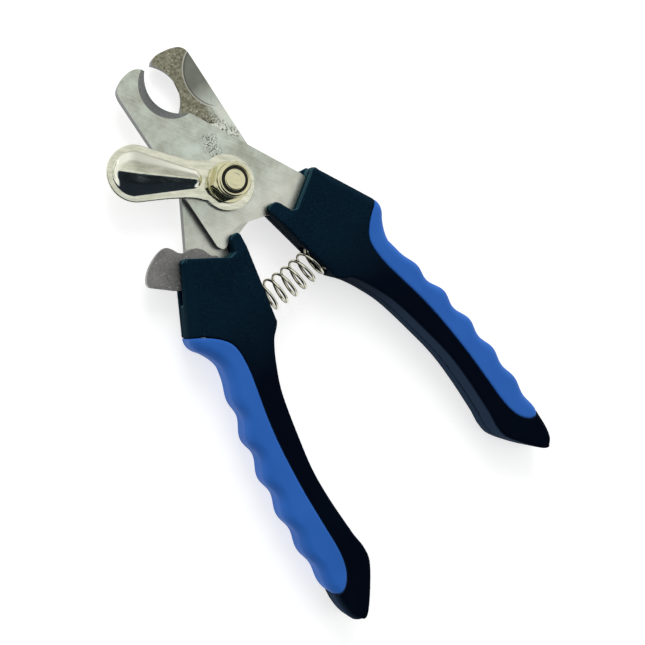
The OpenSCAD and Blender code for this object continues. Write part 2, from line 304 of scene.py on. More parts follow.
class Shader:
    """A material's node tree with short calls for the nodes used here."""

    def __init__(self, name, color, roughness, metallic=0.0, specular=0.5):
        self.mat = bpy.data.materials.new(name)
        self.mat.use_nodes = True
        self.tree = self.mat.node_tree
        self.bsdf = self.tree.nodes["Principled BSDF"]
        for key, value in (("Base Color", color), ("Roughness", roughness), ("Metallic", metallic),
                           ("Specular IOR Level", specular)):
            self.bsdf.inputs[key].default_value = value
        self.mat.diffuse_color = color
        self.place = self.node("ShaderNodeTexCoord").outputs["Object"]

    def node(self, kind, inputs=(), **settings):
        """A node with its settings, and with each input linked or set to a value."""
        made = self.tree.nodes.new(kind)
        for key, value in settings.items():
            setattr(made, key, value)
        for key, value in dict(inputs).items():
            if isinstance(value, bpy.types.NodeSocket):
                self.tree.links.new(value, made.inputs[key])
            else:
                made.inputs[key].default_value = value
        return made

    def link(self, value, name):
        self.tree.links.new(value, self.bsdf.inputs[name])

    def stretched(self, scale, turn=0.0):
        """Object position in millimetres, turned about Z and then scaled per axis."""
        turned_place = self.node("ShaderNodeMapping", {
            "Vector": self.place, "Rotation": (0, 0, math.radians(turn)),
            "Scale": (1000, 1000, 1000)})
        return self.node("ShaderNodeMapping", {"Vector": turned_place.outputs[0],
                                               "Scale": scale}).outputs[0]

    def noise(self, scale, detail=3.0, rough=0.5, turn=0.0):
        """Fractal noise, about 0.5 on average. The scale is in cycles per millimetre."""
        scale = scale if isinstance(scale, tuple) else (scale,) * 3
        made = self.node("ShaderNodeTexNoise", {"Vector": self.stretched(scale, turn), "Scale": 1.0,
                                                "Detail": detail, "Roughness": rough})
        return made.outputs["Fac"]

    def cells(self, scale):
        """Distance to the nearest of scattered points."""
        made = self.node("ShaderNodeTexVoronoi", {"Vector": self.stretched((scale,) * 3),
                                                  "Scale": 1.0})
        return made.outputs["Distance"]

    def math(self, operation, a, b=0.0, c=0.0):
        """One step of arithmetic."""
        return self.node("ShaderNodeMath", {0: a, 1: b, 2: c}, operation=operation).outputs[0]

    def span(self, value, low, high, out_low=0.0, out_high=1.0):
        """Maps one range onto another and stops at its ends."""
        return self.node("ShaderNodeMapRange", {"Value": value, "From Min": low, "From Max": high,
                                                "To Min": out_low, "To Max": out_high}).outputs[0]

    def line(self, value, centre, half_width, soft):
        """1 within a stripe about a value, and 0 outside it."""
        away = self.math("ABSOLUTE", self.math("SUBTRACT", value, centre))
        return self.span(away, half_width, half_width - soft)

    def product(self, first, *others):
        """All the values multiplied together."""
        for other in others:
            first = self.math("MULTIPLY", first, other)
        return first

    def reach(self, x, y):
        """Distance in millimetres from an upright line."""
        moved = self.node("ShaderNodeMapping", {"Vector": self.place, "Scale": (1000, 1000, 0),
                                                "Location": (-x, -y, 0)})
        length = self.node("ShaderNodeVectorMath", {0: moved.outputs[0]}, operation="LENGTH")
        return length.outputs["Value"]

    def axis(self, name):
        """One coordinate in millimetres."""
        parts = self.node("ShaderNodeSeparateXYZ", {0: self.place})
        return self.math("MULTIPLY", parts.outputs[name], 1000)

    def facing(self, name):
        """One part of the direction that the surface faces, in the object's own axes."""
        normal = self.node("ShaderNodeTexCoord").outputs["Normal"]
        return self.node("ShaderNodeSeparateXYZ", {0: normal}).outputs[name]

    def lean(self):
        """How far the surface faces along Z, from 0 to 1."""
        return self.math("ABSOLUTE", self.facing("Z"))

    def blend(self, factor, a, b):
        """From colour a at 0 to colour b at 1."""
        mixed = self.node("ShaderNodeMix", {0: factor}, data_type="RGBA")
        for index, value in ((6, a), (7, b)):
            if isinstance(value, bpy.types.NodeSocket):
                self.tree.links.new(value, mixed.inputs[index])
            else:
                mixed.inputs[index].default_value = value
        return mixed.outputs[2]

    def bump(self, *layers):
        """Bump from (height, depth in millimetres) layers, laid one on another."""
        normal = None
        for height, depth in layers:
            inputs = {"Height": height, "Distance": depth * MM, "Strength": 1.0}
            if normal:
                inputs["Normal"] = normal
            normal = self.node("ShaderNodeBump", inputs).outputs[0]
        self.link(normal, "Normal")


# Painted shade lines along the walls of the mouths: depth under the front face and half width
MOUTH_SHADE_LINES = ((2.9, 0.75), (0.95, 0.45))


def plastic_material():
    """Moulded black plastic with a blue cast. The housings have a fine grain and pale specks,
    their mouth walls have a painted highlight with two painted shade lines, and the lower
    handles are darker, with painted shade on faces turned towards -Y and a painted sheen on
    their sides."""
    s = Shader("handle_plastic", linear(5, 26, 40), 0.5, specular=0.01)
    y, facing_mouth = s.axis("Y"), s.facing("Y")
    # Darker towards the lower handle, plus painted shade on faces turned towards -Y.
    down = s.math("MAXIMUM", s.span(y, -26, -52), s.span(facing_mouth, 0.1, -0.6))
    upper, near_mouth = s.span(y, -46, -28), s.span(y, -42, -24)
    grain = s.product(s.math("MULTIPLY_ADD", s.noise(1.6, 3, 0.7), 2.4, -1.2), upper)
    cloud = s.math("MULTIPLY_ADD", s.noise(0.08, 2), 0.5, -0.25)
    tone = s.math("ADD", s.math("ADD", down, cloud), grain)
    color = s.blend(tone, linear(10, 30, 43), linear(4, 9, 21))
    # Painted sheen: a reflection painted on the steep sides of the lower handles.
    sheen = s.product(s.span(s.lean(), 0.85, 0.2), s.span(y, -36, -64))
    color = s.blend(sheen, color, linear(38, 53, 73))
    # Painted highlight on the mouth walls that face +Y, near the mouth.
    painted_mouth_highlight = s.product(s.span(facing_mouth, 0.45, 0.95), near_mouth)
    color = s.blend(painted_mouth_highlight, color, linear(46, 79, 89))
    z = s.axis("Z")
    # Painted shade: two dark lines along the mouth walls that face +Y, near the mouth.
    groove_shade = s.math("MAXIMUM", *[s.line(z, FRONT_Z - under, half_width, 0.25)
                                  for under, half_width in MOUTH_SHADE_LINES])
    groove_shade = s.product(groove_shade, s.span(facing_mouth, 0.3, 0.6), near_mouth)
    color = s.blend(groove_shade, color, linear(9, 27, 37))
    specks = s.product(s.span(s.cells(0.8), 0.12, 0.07), upper, 0.25)
    s.link(s.blend(specks, color, linear(66, 88, 98)), "Base Color")
    fine = s.noise(4.5, 2)
    s.link(s.span(fine, 0.3, 0.7, 0.66, 0.84), "Roughness")
    s.bump((s.cells(2.4), 0.03), (fine, 0.02))
    return s.mat


def grip_material():
    """Matt blue soft rubber."""
    s = Shader("grip_rubber", linear(33, 89, 169), 0.6, specular=0.15)
    cloud = s.noise(0.07, 2)
    color = s.blend(s.span(cloud, 0.3, 0.7), linear(38, 93, 174), linear(43, 100, 185))
    s.link(color, "Base Color")
    fine = s.noise(6, 2)
    s.link(s.span(fine, 0.3, 0.7, 0.52, 0.66), "Roughness")
    s.bump((fine, 0.012))
    return s.mat


# Pitted patches of the blades: centre in X and Y, and radius
FRONT_PITS = ((2.4, 11.9, 2.4), (2.3, 9.4, 2.0))
REAR_PITS = ((7.2, 16.4, 2.2), (8.9, 13, 2.5), (10.5, 10.2, 2.2))


def blade_material(name, rear):
    """Ground stainless steel: soft clouds, fine grinding lines, a dark ground bevel, a few pits."""
    s = Shader(name, linear(190, 196, 184), 0.36, metallic=1.0)
    y = s.axis("Y")
    cloud = s.noise(0.13, 5, 0.65)
    lines = s.noise((0.2, 7.0, 7.0), 2, 0.6, turn=-55 if rear else 55)
    tone = s.math("MULTIPLY_ADD", lines, 0.35, s.product(cloud, 0.65))
    color = s.blend(s.span(tone, 0.38, 0.62), linear(164, 167, 153), linear(213, 222, 210))
    arm = s.blend(s.span(tone, 0.36, 0.64), linear(190, 191, 178), linear(226, 228, 217))
    color = s.blend(s.span(y, -2, -10), color, arm)
    if rear:
        # Painted shade on the rear jaw, beyond Y 19.
        shade = s.blend(cloud, linear(92, 94, 86), linear(140, 143, 132))
        color = s.blend(s.span(y, 19, 27), color, shade)
        # Painted light: a brighter band on the rear blade between Y 5 and 22.
        light = s.product(s.span(y, 22, 17), s.span(y, 5, 10), 0.75)
        color = s.blend(light, color, linear(226, 232, 219))
        color = relief_tones(s, color)
    patch = 0.0
    for pit_x, pit_y, size in REAR_PITS if rear else FRONT_PITS:
        patch = s.math("MAXIMUM", patch, s.span(s.reach(pit_x, pit_y), size * 1.4, size * 0.5))
    grit = s.noise(2.0, 3, 0.6)
    spots = s.product(s.span(grit, 0.53, 0.6), patch)
    color = s.blend(spots, color, linear(78, 82, 74))
    color = s.blend(s.product(s.span(grit, 0.42, 0.36), patch), color, linear(232, 234, 226))
    # Painted shade on the side walls that face -X.
    painted_wall_shade = s.product(s.span(s.lean(), 0.4, 0.2), s.span(s.facing("X"), -0.2, -0.6))
    color = s.blend(painted_wall_shade, color, linear(104, 105, 106))
    bevel = s.product(s.span(s.lean(), 0.9, 0.8), s.span(s.lean(), 0.3, 0.5))
    grind = s.span(s.noise((7.0, 7.0, 0.6), 2, 0.6), 0.3, 0.7)
    color = s.blend(bevel, color, s.blend(grind, linear(68, 71, 73), linear(146, 150, 147)))
    s.link(color, "Base Color")
    s.link(s.span(lines, 0.3, 0.7, 0.28, 0.42), "Roughness")
    s.bump((lines, 0.006), (cloud, 0.03), (spots, -0.05))
    return s.mat


def relief_tones(s, color):
    """The brown, blasted relief beside the cutting arc. Its edge has a painted highlight line and a
    painted shadow line.
    """
    outside = s.math("SUBTRACT", s.reach(-RELIEF_C[0], RELIEF_C[1]), RELIEF_R)
    y = s.axis("Y")
    land = s.product(s.span(s.reach(0, 0), LAND_R - 0.1, LAND_R + 0.3), s.span(y, 5, 6))
    left = s.span(s.axis("X"), RELIEF_SIDE + 1.2, RELIEF_SIDE - 2)
    side = s.math("MAXIMUM", left, s.span(y, 19, 21))
    mating_face = s.span(s.axis("Z"), SPLIT_Z - 0.8, SPLIT_Z - 0.6)
    zone = s.product(land, side, mating_face)
    inside = s.product(s.span(outside, -0.05, 0.05), zone)
    grit = s.noise(1.3, 4, 0.7)
    brown = s.blend(s.span(grit, 0.36, 0.64), linear(98, 95, 78), linear(160, 158, 138))
    brown = s.blend(s.span(s.cells(0.55), 0.13, 0.08), brown, linear(205, 200, 188))
    color = s.blend(inside, color, brown)
    # Painted shadow line just inside the relief's edge.
    dark = s.product(s.line(outside, -0.55, 0.28, 0.13), zone, 0.7)
    color = s.blend(dark, color, linear(92, 92, 84))
    # Painted highlight line along the relief's edge.
    bright = s.product(s.line(outside, -0.1, 0.2, 0.08), zone, 0.8)
    return s.blend(bright, color, linear(200, 198, 186))


def steel_material(name, color, roughness):
    """Plain turned steel."""
    s = Shader(name, color, roughness, metallic=1.0)
    fine = s.noise(1.5, 3)
    s.link(s.blend(s.span(fine, 0.3, 0.7), dimmed(color, 0.85), color), "Base Color")
    s.link(s.span(fine, 0.3, 0.7, roughness - 0.05, roughness + 0.08), "Roughness")
    s.bump((fine, 0.01))
    return s.mat


def tumbled_material():
    """Dull, speckled steel of a tumbled stamping."""
    s = Shader("tumbled_steel", linear(118, 119, 122), 0.5, metallic=1.0)
    mottle = s.noise(2.2, 4, 0.7)
    wide = s.noise(0.12, 2)
    tone = s.math("MULTIPLY_ADD", wide, 0.35, s.product(mottle, 0.65))
    color = s.blend(s.span(tone, 0.38, 0.62), linear(116, 115, 114), linear(166, 164, 161))
    flecks = s.span(s.cells(0.7), 0.16, 0.08)
    s.link(s.blend(flecks, color, linear(205, 203, 200)), "Base Color")
    s.link(s.span(mottle, 0.3, 0.7, 0.42, 0.6), "Roughness")
    s.bump((mottle, 0.05))
    return s.mat


def chrome_material(name, color, roughness):
    """Bright plating with slight waves from polishing."""
    s = Shader(name, color, roughness, metallic=1.0)
    wave = s.noise(0.3, 3)
    haze = s.noise(1.2, 3)
    s.link(s.blend(s.span(haze, 0.35, 0.7), dimmed(color, 0.9), color), "Base Color")
    s.link(s.span(haze, 0.35, 0.65, roughness * 0.7, roughness * 1.5), "Roughness")
    s.bump((wave, 0.02))
    return s.mat


def guard_material():
    """Worn plating: greyish and streaky where flat, with a painted highlight along its edges and
    sloping sides.
    """
    s = Shader("guard_chrome", linear(222, 221, 203), 0.09, metallic=1.0)
    haze = s.noise((0.25, 0.9, 0.9), 4, 0.6, turn=-GUARD_DIR)
    flat = s.blend(s.span(haze, 0.36, 0.64), linear(192, 194, 174), linear(224, 224, 206))
    # Painted highlight on the edges and sloping sides.
    painted_edge_highlight = s.span(s.lean(), 0.965, 0.89)
    s.link(s.blend(painted_edge_highlight, flat, linear(236, 236, 222)), "Base Color")
    s.link(s.span(haze, 0.35, 0.65, 0.06, 0.14), "Roughness")
    s.bump((s.noise(0.3, 3), 0.02))
    return s.mat


def wire_material():
    """Bright drawn wire, with painted shade on the sides of each turn, where the turns face each
    other.
    """
    s = Shader("spring_wire", linear(224, 222, 200), 0.1, metallic=1.0)
    side = s.math("ABSOLUTE", s.facing("X"))
    haze = s.noise(1.2, 3)
    # Painted shade on the sides of each turn, varied a little by the haze.
    painted_turn_shade = s.math("ADD", s.span(side, 0.55, 0.95), s.span(haze, 0.35, 0.7, -0.1, 0.15))
    s.link(s.blend(painted_turn_shade, linear(226, 224, 203), linear(62, 58, 46)), "Base Color")
    s.link(s.span(haze, 0.35, 0.65, 0.07, 0.16), "Roughness")
    s.bump((haze, 0.015))
    return s.mat


def nylon_material():
    """Black nylon with a fine grain."""
    s = Shader("nylon", linear(9, 9, 11), 0.4, specular=0.3)
    grain = s.noise(4, 2)
    s.link(s.span(grain, 0.3, 0.7, 0.32, 0.5), "Roughness")
    s.bump((grain, 0.02))
    return s.mat


# ---------------------------------------------------------------- more mesh helpers


def turned(name, rings, steps=96):
    """A closed solid of revolution about the pivot axis. Each ring is (radius, height), and either
    may also be a function of the angle in radians. The last ring joins the first."""
    angles = 2 * np.pi * np.arange(steps) / steps
    points = []
    for radius, height in rings:
        r = radius(angles) if callable(radius) else np.full(steps, float(radius))
        z = height(angles) if callable(height) else np.full(steps, float(height))
        points.append(np.column_stack([r * np.cos(angles), r * np.sin(angles), z]))
    n = len(rings)
    faces = []
    for j in range(n):
        k = (j + 1) % n
        for i in range(steps):
            q = (i + 1) % steps
            faces.append((j * steps + i, j * steps + q, k * steps + q, k * steps + i))
    obj = mesh_object(name, np.vstack(points), faces)
    tidy(obj)
    obj.data.set_sharp_from_angle(angle=math.radians(SHARP_ANGLE))
    return obj


def corner(r_centre, z_centre, radius, start, stop, steps=5):
    """Ring list for a rounded corner in the radius and height plane, from one angle to another."""
    angles = np.radians(np.linspace(start, stop, steps + 1))
    return [(r_centre + radius * math.cos(a), z_centre + radius * math.sin(a)) for a in angles]


def disc_rings(outer, low, high, edge, inner=0.0):
    """Rings of a washer, or of a disc if inner is 0, with rounded outer edges."""
    return [(inner, low), *corner(outer - edge, low + edge, edge, -90, 0),
            *corner(outer - edge, high - edge, edge, 0, 90), (inner, high)]


def prism(name, low_ring, high_ring):
    """A solid between two rings that have the same number of points."""
    n = len(low_ring)
    faces = [tuple(range(n)), tuple(range(2 * n - 1, n - 1, -1))]
    faces += [(i, (i + 1) % n, n + (i + 1) % n, n + i) for i in range(n)]
    obj = mesh_object(name, low_ring + high_ring, faces)
    tidy(obj)
    return obj


def plate(name, outline, low, high):
    """A flat plate from a closed outline."""
    return prism(name, [(x, y, low) for x, y in outline], [(x, y, high) for x, y in outline])


def drill(obj, x, y, radius, low, high, top_radius=None, steps=128):
    """Takes a round hole, or a cone's frustum, out of a plate."""
    angles = 2 * np.pi * np.arange(steps) / steps
    top_radius = radius if top_radius is None else top_radius
    rims = [[(x + r * c, y + r * d, z) for c, d in zip(np.cos(angles), np.sin(angles))]
            for r, z in ((radius, low), (top_radius, high))]
    carve(obj, prism("cutter", *rims))


def carve(obj, cutter):
    """Takes one solid out of another and deletes the cutter."""
    cut = obj.modifiers.new("cut", "BOOLEAN")
    cut.operation = "DIFFERENCE"
    cut.solver = "EXACT"
    cut.object = cutter
    apply_modifiers(obj)
    bpy.data.objects.remove(cutter)


def ease(obj, width, segments=2, angle=28):
    """Rounds the sharp edges a little."""
    bevel = obj.modifiers.new("ease", "BEVEL")
    bevel.width = width * MM
    bevel.segments = segments
    bevel.limit_method = "ANGLE"
    bevel.angle_limit = math.radians(angle)
    bevel.harden_normals = True
    apply_modifiers(obj)


def place(obj, material, body, node):
    """Gives a piece its material and its body, and hides the CAD node that it stands for."""
    obj.data.materials.clear()
    obj.data.materials.append(material)
    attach(obj, body)
    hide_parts(node)


# ---------------------------------------------------------------- handles

# Values per side are keyed by the side's sign in X: 1 right, -1 left.
WAVE_SHIFT = {1: 2.2, -1: 0.0}
plans = {(side, front): Plan(handle_outline(FRONT_MOUTH if front else REAR_MOUTH, shift))
         for side, shift in WAVE_SHIFT.items() for front in (True, False)}
core_plan = Plan(np.vstack([smooth(GRIP_LINE), [[60, -140], [0, -140], [0, 0], [38, 0]]]))
outer_reach = Plan(np.vstack([FRONT_MOUTH[3:], smooth(SHOULDER), wave_side(), smooth(TIP[:4])]),
                   closed=False)
inner_reach = Plan(np.vstack([smooth(TIP[3:]), smooth(INNER), THROAT[:1]]), closed=False)
mouth_reach = Plan(np.vstack([THROAT, FRONT_MOUTH[:3]]), closed=False)
front_lip = Plan(FRONT_MOUTH[:4], closed=False)
wall_reach = Plan([INNER[-1], THROAT[0]], closed=False)
tang_plan = Plan([[21.4, -6], [21.4, -16.5], [24.5, -24], [24.7, -38], [26.7, -48], [28.5, -59.1],
                  [24.7, -60.4], [20.3, -48], [15.5, -38.5], [14.5, -36], [14.5, -26],
                  [10.5, -20.2], [7.4, -15.8], [5, -14.6], [5, -6]])
pocket_plan = Plan([[40, -21], [29.5, -21], [26, -19.5], [12, -19.5], [12, -5], [40, -5]])

SEAM = 0.06  # each side's share of the gap between core and grip
SPLIT_GAP = 0.02  # each half's share of the gap between front and rear half
SPRING_Y, SEAT_X, SEAT_R, POST_R, POST_X = -33.1, 12.3, 5.4, 3.4, 10.9
OUTER_R, INNER_R, MOUTH_R = 3.0, 0.9, 0.5
BACK_OUTER_R, BACK_INNER_R = 4.4, 1.2
WALL_LEAN = {1: 0.13, -1: 0.045}
THROAT_BOSS_Y, THROAT_BOSS_TILT, THROAT_BOSS_FALL = -17.6, 0.15, 0.35
LIP_GROOVE_DROP, LIP_GROOVE_R = 1.35, 0.2
HANDLE_PITCH, QUICK_HANDLE_PITCH = 0.42, 0.8


def edge_radius(x, y, outer, inner, mouth):
    """Mixes the edge radii of the three sides by how near each one is."""
    weights = [1 / np.maximum(reach(x, y), 0.05) ** 2
               for reach in (outer_reach, inner_reach, mouth_reach)]
    return (outer * weights[0] + inner * weights[1] + mouth * weights[2]) / sum(weights)


def handle_body(x, y, z, side, front=True):
    """The whole handle, as the right one. The boss beside the throat slopes down towards the mouth,
    and the inner wall beside the spring leans inward towards the front."""
    lean = WALL_LEAN[side] * (z - BACK_Z) * (1 - step(wall_reach(x, y), 1, 5))
    d = plans[side, front](x, y) - lean
    front_r = edge_radius(x, y, OUTER_R, INNER_R, MOUTH_R)
    back_r = edge_radius(x, y, BACK_OUTER_R, BACK_INNER_R, MOUTH_R)
    boss = np.maximum(y - THROAT_BOSS_Y + THROAT_BOSS_TILT * (x - 8), 0)
    boss = boss * THROAT_BOSS_FALL * step(-x, -11.4, -9.8)
    return np.maximum(both(d, z - FRONT_Z + boss, front_r), both(d, BACK_Z - z, back_r))


def spring_recess(x, y, z):
    """The ring-shaped room for the spring's end, round a post."""
    radial = np.hypot(y - SPRING_Y, z - MID_Z)
    return without(both(radial - SEAT_R, x - SEAT_X, 0.25), both(radial - POST_R, POST_X - x, 0.3))


def core_half(side, front, tang_here, pocket=False):
    """The field of one half of a handle's core."""
    def f(x, y, z):
        x = side * x
        d = both(handle_body(x, y, z, side, front), core_plan(x, y) + SEAM, 0.3)
        split = SPLIT_Z + SPLIT_GAP - z if front else z - SPLIT_Z + SPLIT_GAP
        d = both(d, split, 0.08)
        d = without(d, spring_recess(x, y, z), 0.25)
        if front:
            groove = np.hypot(front_lip(x, y), z - (FRONT_Z - LIP_GROOVE_DROP)) - LIP_GROOVE_R
            d = without(d, groove, 0.1)
        if tang_here:
            room = z - TANG_TOP - 0.1 if front else TANG_LOW - 0.05 - z
            d = without(d, both(tang_plan(x, y), room), 0.15)
        if pocket:
            d = without(d, both(pocket_plan(x, y), z - TANG_TOP - 0.1), 0.2)
        return d
    return f


def soft_grip(side):
    """The field of a handle's soft grip."""
    def f(x, y, z):
        return both(handle_body(side * x, y, z, side), SEAM - core_plan(side * x, y), 0.35)
    return f


def handle_pieces():
    """Two core halves and a grip for each handle. The right handle goes with the front blade."""
    black, blue = plastic_material(), grip_material()
    pitch = HANDLE_PITCH
    for side, name, body in ((1, "right", "front_half"), (-1, "left", "rear_half")):
        for front, half in ((True, "front"), (False, "rear")):
            f = core_half(side, front, front == (side > 0), pocket=front and side < 0)
            z_low, z_high = (SPLIT_Z - 1, FRONT_Z + 1) if front else (BACK_Z - 1, SPLIT_Z + 1)
            x_low, x_high = sorted((side * 4.0, side * 47.0))
            shell = solid(f"{name}_core_{half}", f, (x_low, -130, z_low), (x_high, -7, z_high),
                          pitch)
            place(shell, black, body, f"{name}_{half}_shell")
        x_low, x_high = sorted((side * 23.0, side * 47.0))
        grip = solid(f"{name}_soft_grip", soft_grip(side), (x_low, -119, BACK_Z - 1),
                     (x_high, -26, FRONT_Z + 1), pitch)
        place(grip, blue, body, f"{name}_grip")


# ---------------------------------------------------------------- blades

# Cutting arc, width of its bevel and outer edge of each jaw. The front jaw has the wider bevel.
JAWS = {
    "front": dict(cut=(6.3, 31.1), r=10.2, end=247.5, bevel=3.2, edge=[
        [-12.75, -13], [-12.2, 34.4], [-11.7, 36.6], [-10, 38.1], [-7.4, 39.2], [-4.8, 39.4],
        [-2.9, 38.7], [-1.5, 37.4]]),
    "rear": dict(cut=(5.8, 31), r=10.35, end=247, bevel=2.5, edge=[
        [-12.8, -13], [-13, 34.4], [-12.8, 36.7], [-11.6, 38.2], [-9.4, 39.1], [-6.8, 39.5],
        [-4.6, 39.6], [-2.8, 39.1], [-1.7, 38.1]])}
BEVEL_C, BEVEL_R = (1.7, 30.4), 8.8
RELIEF_C, RELIEF_R = (-17.0, 26.9), 10.2
LAND_R, RELIEF_SIDE = 17.3, 9.6
RELIEF_DEPTH, EDGE_T = 0.1, 0.3
PIVOT_HOLE_R, PIN_HOLE_R = 3.05, 1.55
PIN_PLACES = [(18, -22.5), (22.3, -45)]


def blade_outline(jaw):
    """Jaw edge, cutting arc, tang and heel, as the front blade lies."""
    first = jaw["edge"][-1]
    start = math.degrees(math.atan2(first[1] - jaw["cut"][1], first[0] - jaw["cut"][0]))
    tang = [[20.9, -10.2], [21.3, -11.2], [21.3, -16.5], [24.4, -24], [24.6, -38], [26.6, -48],
            [28.4, -59], [24.8, -60.2], [20.4, -48], [15.6, -38.5], [14.6, -36], [14.6, -26],
            [10.6, -20.2]]
    heel = smooth([[7.6, -15.7], [5.3, -14.4], [0, -12.8], [-3, -12.1], [-5.5, -11.9],
                   [-7.6, -12.5], [-9.2, -13.9], [-10.6, -14.7], [-11.9, -14.5], jaw["edge"][0]])
    cutting_arc = circle_arc(jaw["cut"], jaw["r"], start, jaw["end"], 72)
    return np.vstack([smooth(jaw["edge"][1:])[:-1], cutting_arc, tang, heel])


def relief_outline():
    """On the mating face, between the jaw's edge, an arc line and the land round the pivot."""
    side = circle_arc(RELIEF_C, RELIEF_R, 75, -43.5, 48)
    land = circle_arc((0, 0), LAND_R, 123.7, 60, 36)
    return np.vstack([side, land, [[9, 42], [-14.4, 42]]])


def blade(name, jaw, thickness, turn_over, mate_z):
    """Drawn with its mating face at Z = 0. The rear one is turned over, and both are lifted."""
    obj = plate(name, blade_outline(jaw), 0, thickness)
    wide, deep, past = jaw["bevel"], thickness - EDGE_T, 0.1
    drill(obj, *BEVEL_C, BEVEL_R - wide, thickness - deep, thickness + past,
          BEVEL_R + past * wide / deep, 256)
    drill(obj, 0, 0, PIVOT_HOLE_R, -1, thickness + 1, steps=64)
    for x, y in PIN_PLACES:
        drill(obj, x, y, PIN_HOLE_R, -1, thickness + 1, steps=32)
    carve(obj, plate("cutter", relief_outline(), -1, RELIEF_DEPTH))
    turn = Matrix.Rotation(math.pi, 4, "Y") if turn_over else Matrix.Identity(4)
    obj.data.transform(Matrix.Translation((0, 0, mate_z * MM)) @ turn)
    obj.data.update()
    ease(obj, 0.14)
    return obj


def blades():
    """Both blades, each between its CAD node's heights."""
    low, high = heights("front_blade")
    front = blade("front_blade_ground", JAWS["front"], high - low, False, low)
    place(front, blade_material("front_blade_steel", False), "front_half", "front_blade")
    low, high = heights("rear_blade")
    rear = blade("rear_blade_ground", JAWS["rear"], high - low, True, high)
    place(rear, blade_material("rear_blade_steel", True), "rear_half", "rear_blade")


# ---------------------------------------------------------------- guard lever

GUARD_DIR = 142.0
BOSS_R, GUARD_LEN, GUARD_END_R, GUARD_T = 8.1, 26.2, 7.9, 1.2
DROP_SMALL_X, DROP_SMALL_R, DROP_BIG_R, DROP_H = 10.4, 2.6, 6.0, 2.2
INNER_FACET, OUTER_FACET, WALL_SLOPE = 0.56, 1.5, 1.5
SLOPE_SCALE = 0.86  # turns a height over the drop's slopes into about a distance
GUARD_PITCH, QUICK_GUARD_PITCH = 0.24, 0.5


def guard_side():
    """One side of the lever, from the far side of the boss to the end, with the lever along X."""
    boss = circle_arc((0, 0), BOSS_R, 180, 46, 40)
    waist = smooth([boss[-1], [7.2, 5.6], [9.2, 5.35], [12, 5.5], [18, 6.4], [24.83, 7.78]])[1:-1]
    end = circle_arc((GUARD_LEN, 0), GUARD_END_R, 100, 0, 32)
    return np.vstack([boss, waist, end])


upper_side = guard_side()
guard_plan = Plan(np.vstack([upper_side, upper_side[-2:0:-1] * [1, -1]]), pitch=0.1, margin=2)


def drop_height(x, y):
    """Height of the raised drop, with a ridge from end to end and two facets on each side. The
    small sums under the roots soften the ridge, the lines between the facets and the foot."""
    length = GUARD_LEN - DROP_SMALL_X
    along = np.clip((x - DROP_SMALL_X) / length, 0, 1)
    taper = DROP_SMALL_R + (DROP_BIG_R - DROP_SMALL_R) * along
    past = np.maximum(DROP_SMALL_X - x, x - GUARD_LEN)
    width = np.sqrt(np.maximum(taper**2 - np.maximum(past, 0) ** 2, 1e-4))
    side = np.sqrt(y**2 + 0.02)
    u = side / width
    inner, outer = 1 - INNER_FACET * u, OUTER_FACET * (1 - u)
    facets = 0.5 * (inner + outer - np.sqrt((inner - outer) ** 2 + 0.004))
    height = DROP_H * (taper / DROP_BIG_R) ** 0.6 * np.sqrt(width / taper) * facets
    outside = np.hypot(side, np.maximum(past, 0)) - taper
    height = np.where(outside < 0, np.maximum(height, 0), -WALL_SLOPE * outside)
    return 0.5 * (height + np.sqrt(height**2 + 0.01)) - 0.01


def guard_solid(x, y, z):
    """The pressed plate with its drop. The top falls a little towards the rim."""
    raised = drop_height(x, y)
    edge = guard_plan(x, y)
    top = SLOPE_SCALE * (z - GUARD_T - raised + 0.12 * step(edge, -1.9, 0.3))
    under = SLOPE_SCALE * (np.maximum(raised - 0.05, 0) - z)
    d = both(both(edge, top, 0.18), under, 0.12)
    return without(d, np.hypot(x, y) - PIVOT_HOLE_R, 0.1)


def guard():
    """Made along X with its underside at Z = 0, then turned and lifted into place."""
    pitch = GUARD_PITCH
    obj = solid("guard_lever_pressed", guard_solid, (-8.5, -8.64, -0.6), (35, 8.64, 4.4), pitch)
    turn = Matrix.Rotation(math.radians(GUARD_DIR), 4, "Z")
    obj.data.transform(Matrix.Translation((0, 0, GUARD_Z * MM)) @ turn)
    place(obj, guard_material(), "guard", "guard_lever")


# ---------------------------------------------------------------- bolt, nut and washers

BOLT_R, BOLT_EDGE = 3.0, 0.4
HEAD_R, HEAD_WASHER_R, NUT_WASHER_R, WASHER_EDGE = 5.6, 6.4, 5.9, 0.18
NUT_FLAT_R, NUT_CROWN_R, NUT_SEAT_R, CROWN_H = 5.0, 4.95, 3.7, 2.0
NUT_TURN, CHAMFER = 41.0, 30.0


def bolt_rings():
    """A low head below the head washer, and a shank with a rounded, slightly hollow end."""
    low, high = heights("pivot_bolt")
    head_high = heights("head_washer")[0]
    return [(0, low + 0.15), (3.2, low + 0.1), *corner(HEAD_R - 0.7, low + 0.7, 0.7, -80, 0),
            *corner(HEAD_R - 0.25, head_high - 0.25, 0.25, 0, 90),
            (BOLT_R, head_high), (BOLT_R, high - BOLT_EDGE),
            *corner(BOLT_R - BOLT_EDGE, high - BOLT_EDGE, BOLT_EDGE, 0, 90),
            (2.0, high - 0.01), (1.7, high - 0.06), (1.4, high - 0.1), (0, high - 0.12)]


